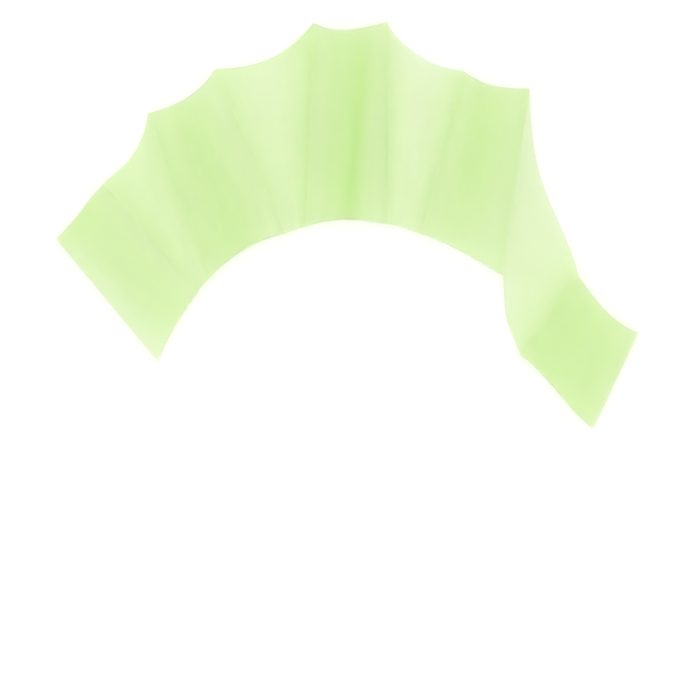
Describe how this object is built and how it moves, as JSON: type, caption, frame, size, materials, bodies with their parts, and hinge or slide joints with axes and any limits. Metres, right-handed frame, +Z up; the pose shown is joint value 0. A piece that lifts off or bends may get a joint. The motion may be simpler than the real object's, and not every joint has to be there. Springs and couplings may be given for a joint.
{
  "type": "webbed swim glove",
  "caption": "Soft silicone swim glove: open finger sleeves joined by thin webs, lying flat, worn on the hand to widen the swimmer's stroke.",
  "frame": {"origin": "on the surface that the glove lies on, under the middle of its outline", "axes": "+X towards the thumb, +Y towards the fingertips, +Z up from the surface"},
  "size_m": [0.1938, 0.1346, 0.0088],
  "materials": {
    "silicone": "satin, see-through pale green silicone"
  },
  "bodies": {
    "root": {"webbed_glove": "silicone"}
  },
  "joints": []
}
